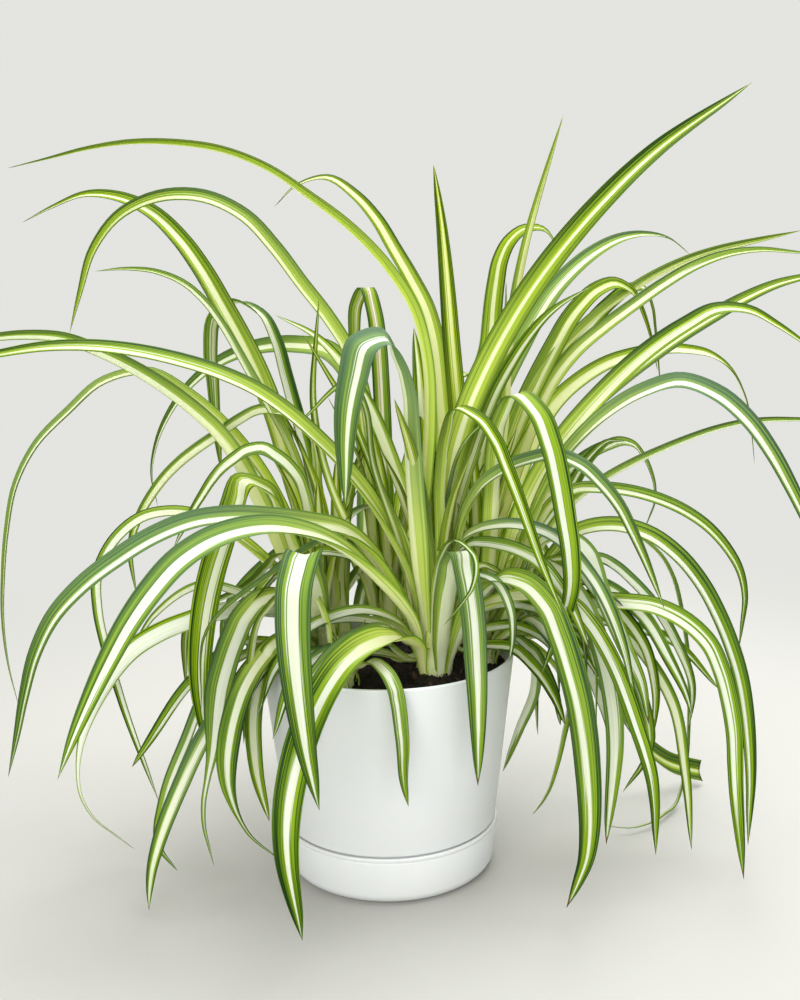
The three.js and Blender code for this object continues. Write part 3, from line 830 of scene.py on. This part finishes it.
BASE_WIDTH = 6 * MM
ARCH_STATIONS = 24
SEAT_REACH = 8  # distance from the crown's axis at which a leaf starts (mm)
LOWEST_SEAT = 4  # lowest start above the soil (mm)
SEAT_RANGE = 26  # a crown's leaves start in turn at so many heights in this range above it (mm)
SEAT_STEPS = 4
BASE_FOLD = 8  # how steeply each half of the blade rises from the middle, at its base (degrees)
FOLD_GAIN = 30  # how much more it folds up just above the base (degrees)
FOLD_LOSS = 20  # how much it opens again by the tip (degrees)

# Each leaf: heading (degrees from +X, anticlockwise from above), width (mm), lean (degrees that
# its upper face turns to the right, near its base and near its tip), and the [distance from the
# crown, height above the surface] points that its arch passes (mm), with a third number where it
# swings out of its plane to its own left.
SLENDER_LEAVES = {
    "middle": [
        (335, 14, (0, 50), [(5, 189), (25, 220), (45, 221), (67, 214), (86, 194), (102, 161)]),
        (342, 14, (0, 50), [(5, 196), (24, 226), (50, 233), (74, 228), (99, 204), (118, 165), (127, 128)]),
        (350, 11, (0, 20), [(1, 189), (8, 240), (23, 286), (38, 300)]),
        (200, 13, (-10, -30), [(14, 160), (45, 180), (80, 174), (104, 150), (116, 122)]),
        (186, 12, (-10, -30), [(14, 156), (50, 172), (85, 166), (112, 146), (126, 112)]),
        (218, 12, (0, -30), [(12, 154), (38, 172), (70, 168), (94, 150), (108, 112)]),
        (172, 13, (-20, -30), [(12, 170), (40, 205), (75, 212), (108, 190), (126, 160)]),
        (352, 13, (10, 40), [(14, 160), (42, 180), (66, 177), (88, 158), (104, 134)]),
        (196, 12, (-10, -30), [(12, 145), (34, 151), (62, 155), (104, 152), (122, 128)]),
        (208, 13, (-10, -30), [(12, 148), (36, 160), (66, 162), (94, 150), (112, 112)]),
        (345, 14, (0, 40), [(18, 150), (34, 154), (50, 153), (64, 142), (76, 125), (84, 106)]),
        (352, 14, (0, 40), [(18, 158), (34, 164), (52, 166), (70, 158), (84, 137), (89, 119)]),
        (310, 9, (0, 30), [(10, 176), (26, 198), (43, 206), (58, 203), (68, 190), (70, 172), (67, 157)]),
        (270, 5, (0, 0), [
            (10, 190), (20, 214, 4), (32, 227, 10), (48, 228, 17), (62, 221, 23), (70, 207, 20),
            (70, 197, 13), (64, 184, 4)]),
        (100, 16, (0, 0), [(7, 200), (18, 262), (34, 316), (52, 352)]),
        (20, 17, (20, 20), [(8, 205), (26, 268), (50, 322), (84, 362), (110, 376)]),
        (160, 16, (-20, -20), [(8, 205), (24, 262), (46, 312), (76, 348), (104, 362)]),
        (172, 7, (-50, -50), [(28, 190), (56, 234), (69, 272), (74, 310), (71, 347), (68, 373)]),
        (176, 7, (-50, -50), [(18, 215), (37, 266), (53, 307), (67, 332), (78, 351)]),
        (184, 7, (-50, -50), [(20, 215), (37, 273), (42, 310), (48, 321), (56, 319), (71, 306), (87, 292)]),
    ],
    "left_front": [
        (236, 14, (0, -30), [(24, 160), (50, 160), (68, 130), (70, 90), (60, 49)]),
        (188, 14, (0, -50), [(22, 152), (54, 152), (84, 130), (114, 91), (127, 73)]),
        (196, 14, (0, -50), [(22, 156), (68, 136), (92, 91), (107, 55), (112, 25), (101, 5)]),
        (180, 12, (0, -40), [(14, 171), (40, 179), (79, 189), (109, 170), (127, 144)]),
        (180, 16, (-10, -50), [(6, 225), (18, 265), (38, 278), (58, 268), (78, 243), (95, 214)]),
    ],
    "left_back": [
        (186, 16, (0, -50), [
            (11, 237), (22, 292), (42, 299), (78, 282), (113, 255), (137, 211), (135, 175)]),
    ],
    "back": [
        (20, 20, (40, 40), [
            (15, 200), (50, 280), (77, 333), (81, 368), (89, 402), (99, 414), (112, 417), (124, 413),
            (129, 402), (131, 390)]),
    ],
    "right_front": [
        (25, 15, (0, 0), [(22, 152), (38, 140), (42, 109), (30, 82), (18, 54)]),
        (5, 14, (0, 50), [(30, 152), (61, 160), (95, 155), (129, 143), (164, 107)]),
        (338, 14, (0, 50), [(30, 190), (54, 207), (80, 183), (103, 133), (112, 88), (96, 57)]),
        (356, 14, (0, 60), [(40, 190), (78, 203), (104, 183), (127, 149), (139, 116), (137, 88)]),
        (35, 13, (0, 40), [(40, 200), (78, 237), (101, 262), (116, 270), (133, 269)]),
        (0, 17, (0, 50), [(27, 152), (53, 150), (80, 106), (94, 57)]),
        (335, 16, (10, 55), [
            (25, 178), (52, 222), (67, 218), (83, 185), (97, 155), (108, 132), (113, 107)]),
        (345, 15, (10, 55), [
            (25, 170), (53, 193), (78, 190), (104, 172), (122, 143), (134, 118), (137, 107)]),
        (320, 14, (0, 50), [(22, 158), (40, 169), (57, 159), (70, 136), (78, 105), (80, 73)]),
        (352, 14, (10, 55), [(22, 160), (53, 177), (78, 178), (104, 152), (114, 118), (113, 84)]),
        (335, 13, (0, 30), [(12, 147), (24, 152), (36, 146), (46, 131), (53, 115), (56, 98)]),
    ],
    "right_back": [
        (338, 14, (0, 50), [(50, 165), (91, 172), (124, 148), (151, 110), (161, 63), (167, 8)]),
        (22, 11, (0, 0), [(20, 230), (41, 302), (43, 336), (43, 381)]),
        (8, 8, (0, 0), [
            (60, 200), (110, 215), (150, 190), (170, 130), (174, 70), (172, 25), (166, 7, -4),
            (147, 5, -23), (127, 5, -37), (110, 5, -38), (100, 6, -34)]),
        (18, 14, (0, 50), [
            (50, 200), (90, 250), (113, 263), (135, 267), (155, 242), (158, 227), (149, 201)]),
        (18, 19, (35, 45), [
            (30, 235), (76, 333), (93, 359), (112, 375), (123, 378), (137, 372), (146, 356), (153, 337),
            (158, 316)]),
        (27, 15, (20, 50), [
            (40, 235), (98, 331), (128, 361), (149, 374), (161, 375), (168, 366), (174, 341), (177, 319),
            (180, 299)]),
    ],
}


def leaf_half_width(width, along):
    """Half the blade's width: narrow at the base, widest before the middle, then a long taper."""
    widening = smoothstep(along, 0, 0.35)
    return 0.5 * (BASE_WIDTH + (width - BASE_WIDTH) * widening) * (1 - along**4) ** 0.8


def arched(crown, heading, width, lean, arch, seat_height):
    """Stations of a leaf that arches out of a crown, as stations_of gives them for a CAD leaf."""
    axis = crown_axis["crown_" + crown]
    turn = math.radians(heading)
    outward = Vector((math.cos(turn), math.sin(turn), 0))
    leftward = Vector((-math.sin(turn), math.cos(turn), 0))
    seat = (SEAT_REACH, soil_height(axis.x, axis.y) / MM + seat_height)
    route = []
    for point in [seat, *arch]:
        reach, height, swing = (*point, 0)[:3]
        route.append(Vector((axis.x, axis.y, height * MM)) + (outward * reach + leftward * swing) * MM)
    path = smoothed(np.array(route), ARCH_STATIONS)
    along = np.linspace(0, 1, len(path))
    ahead = np.gradient(path, axis=0)
    half = leaf_half_width(width * MM, along)
    tilt = np.radians(lean[0] + (lean[1] - lean[0]) * along) * smoothstep(along, 0, 0.3)
    fold = np.radians(BASE_FOLD + FOLD_GAIN * smoothstep(along, 0, 0.15) - FOLD_LOSS * along)
    rows = []
    for i, place in enumerate(path):
        forward = Vector(ahead[i]).normalized()
        left = leftward.copy()
        left.rotate(Quaternion(forward, tilt[i]))
        up = forward.cross(left).normalized()
        depth = half[i] * math.sin(fold[i])
        centre = Vector(place) + up * (depth / 2)
        rows.append([*centre, *(left * (-half[i] * math.cos(fold[i]))), *(up * depth)])
    return np.array(rows)


for crown, row in SLENDER_LEAVES.items():
    for number, (heading, width, lean, arch) in enumerate(row, 1):
        name = f"slender_{crown}_{number:02d}"
        seat_height = LOWEST_SEAT + SEAT_RANGE * (number % SEAT_STEPS) / SEAT_STEPS
        stations = arched(crown, heading, width, lean, arch, seat_height)
        placed(leaf(name, stations, look_of(name, crown)), skin, "leaf")

# The youngest leaves stand close together out of the heart of each crown. Each crown: how many,
# and how high the tallest stands above the crown's top (mm).
YOUNG_LEAVES = {
    "middle": (5, 150), "left_front": (5, 110), "left_back": (5, 150), "right_front": (5, 130),
    "right_back": (5, 150), "back": (5, 140), "rim": (3, 26),
}
FIRST_HEADING = 30  # degrees from +X
YOUNG_SPREAD = 0.22  # how far a young leaf leans out, as a share of its height
YOUNG_SEAT = 6  # its start above the soil (mm)
YOUNG_LOOK = {"pale": 1.0, "tint": 1.0}
for crown, (count, tallest) in YOUNG_LEAVES.items():
    chance = random.Random("young " + crown)
    crown_top = crown_axis["crown_" + crown].z / MM
    for number in range(count):
        heading = 360 * (number + chance.uniform(-0.2, 0.2)) / count + FIRST_HEADING
        height = tallest * chance.uniform(0.55, 1.0)
        spread = YOUNG_SPREAD * height
        arch = [
            (4, crown_top + 4),
            (6 + 0.12 * spread, crown_top + 0.35 * height),
            (8 + 0.45 * spread, crown_top + 0.72 * height),
            (10 + spread, crown_top + height),
        ]
        width = 5 + 0.065 * height
        name = f"young_{crown}_{number + 1:02d}"
        stations = arched(crown, heading, width, (0, 0), arch, YOUNG_SEAT)
        placed(leaf(name, stations, look_of(name, crown) | YOUNG_LOOK), skin, "leaf")

# Leaves close round each crown that follow no set arch of their own: they rise, pass over the
# pot's rim and droop. Each crown: their headings from +X (degrees, anticlockwise from above).
LOW_LEAVES = {
    "middle": [5, 65, 120, 200],
    "left_front": [140, 110, 165, 178, 212],
    "left_back": [75, 120, 150, 180],
    "right_front": [15, 60, 330, 345],
    "right_back": [10, 50, 85, 350],
    "back": [15, 60, 85, 120, 140, 190],
    "rim": [185],
}
RISE_FROM = 150  # height just above the rim from which a low leaf rises (mm)
CLEAR_OF_RIM = 160  # least height at which it comes out over the rim (mm)
for crown, headings in LOW_LEAVES.items():
    chance = random.Random("low " + crown)
    axis = crown_axis["crown_" + crown]
    for number, heading in enumerate(headings, 1):
        turn = math.radians(heading)
        ahead = Vector((math.cos(turn), math.sin(turn), 0))
        lead = axis.x * ahead.x + axis.y * ahead.y  # how far forward the crown lies
        over_rim = (math.sqrt(lead**2 + rim**2 - axis.x**2 - axis.y**2) - lead) / MM
        reach = over_rim + chance.uniform(22, 60)
        peak = chance.uniform(164, 184) + 0.6 * over_rim
        end = chance.uniform(60, 140)
        arch = [
            (over_rim * 0.22, RISE_FROM + 0.5 * (peak - RISE_FROM)),
            (over_rim * 0.6, peak),
            (over_rim + 8, max(CLEAR_OF_RIM, peak - 20)),
            (reach - 6, 0.5 * (peak + end)),
            (reach, end),
        ]
        lean = (0, chance.uniform(-30, 30))
        width = chance.uniform(11, 16)
        seat_height = chance.uniform(3, 20)
        name = f"low_{crown}_{number:02d}"
        stations = arched(crown, heading, width, lean, arch, seat_height)
        placed(leaf(name, stations, look_of(name, crown)), skin, "leaf")

# ---- Floor, light and camera ---------------------------------------------------------------
# A plain pale floor that runs out into a plain pale background, even light from all round, a
# strong soft lamp above, a large one in front to the left, and weaker ones in front and behind.

STUDIO_GREY = (0.775, 0.775, 0.745, 1)
FLOOR_RADIUS = 4.0
PLANT_MIDDLE = (0, 0, 0.2)


def studio_floor():
    """A flat pale disc, painted like the background further out."""
    disc = bmesh.new()
    bmesh.ops.create_circle(disc, cap_ends=True, segments=96, radius=FLOOR_RADIUS)
    mesh = plain_mesh("floor", disc)
    material, tree, shader = finish_of("floor_paint")
    place = node(tree, "ShaderNodeTexCoord").outputs["Object"]
    shader.inputs["Base Color"].default_value = (0.38, 0.375, 0.355, 1)
    shader.inputs["Roughness"].default_value = 0.7
    far = node(tree, "ShaderNodeVectorMath", {0: place}, operation="LENGTH").outputs["Value"]
    backdrop = node(tree, "ShaderNodeEmission", {"Color": STUDIO_GREY})
    share = ramped(tree, far, 0.30, 1.0)
    blended = node(tree, "ShaderNodeMixShader", {
        0: share, 1: shader.outputs[0], 2: backdrop.outputs[0]})
    tree.links.new(blended.outputs[0], tree.nodes["Material Output"].inputs["Surface"])
    mesh.materials.append(material)
    in_scene("floor", mesh)


def lamp(name, size, power, place, colour):
    """A soft rectangular light, aimed at the middle of the plant."""
    light = bpy.data.lights.new(name, "AREA")
    light.shape = "RECTANGLE"
    light.size, light.size_y = size
    light.energy = power
    light.color = colour
    made = in_scene(name, light)
    made.location = place
    aim = Vector(PLANT_MIDDLE) - Vector(place)
    made.rotation_euler = aim.to_track_quat("-Z", "Y").to_euler()


studio_floor()
lamp("key", (1.4, 1.1), 28, (-0.6, -1.7, 0.9), (1.0, 0.99, 0.96))
lamp("front", (0.9, 0.5), 6, (0.5, -1.5, 0.45), (1.0, 0.99, 0.96))
lamp("top", (1.3, 1.3), 40, (0.3, 0.1, 1.7), (0.97, 0.99, 1.0))
lamp("back", (1.2, 1.0), 14, (0.3, 1.3, 1.0), (1.0, 0.99, 0.96))

world = bpy.data.worlds.new("studio")
bpy.context.scene.world = world
world.use_nodes = True
sky = world.node_tree
backdrop = sky.nodes["Background"]
backdrop.inputs["Color"].default_value = STUDIO_GREY
# The background lights the plant a little more weakly than it looks.
looked_at = node(sky, "ShaderNodeLightPath").outputs["Is Camera Ray"]
strength = node(sky, "ShaderNodeMapRange", {"Value": looked_at, "To Min": 0.88, "To Max": 1.0})
sky.links.new(strength.outputs["Result"], backdrop.inputs["Strength"])
bpy.context.scene.view_settings.view_transform = "Standard"

CAMERA_PLACE = (0.010, -0.745, 0.375)
LOOK_DOWN = 10.0  # degrees below the level
ROLL = 1.0  # degrees
SENSOR_WIDTH = 36  # mm
FOCAL_LENGTH = 42.5  # mm
lens = bpy.data.cameras.new("camera")
lens.sensor_width = SENSOR_WIDTH
lens.lens = FOCAL_LENGTH
camera = in_scene("camera", lens)
camera.location = CAMERA_PLACE
camera.rotation_euler = (math.radians(90 - LOOK_DOWN), 0, 0)
camera.rotation_euler.rotate_axis("Z", math.radians(-ROLL))
bpy.context.scene.camera = camera
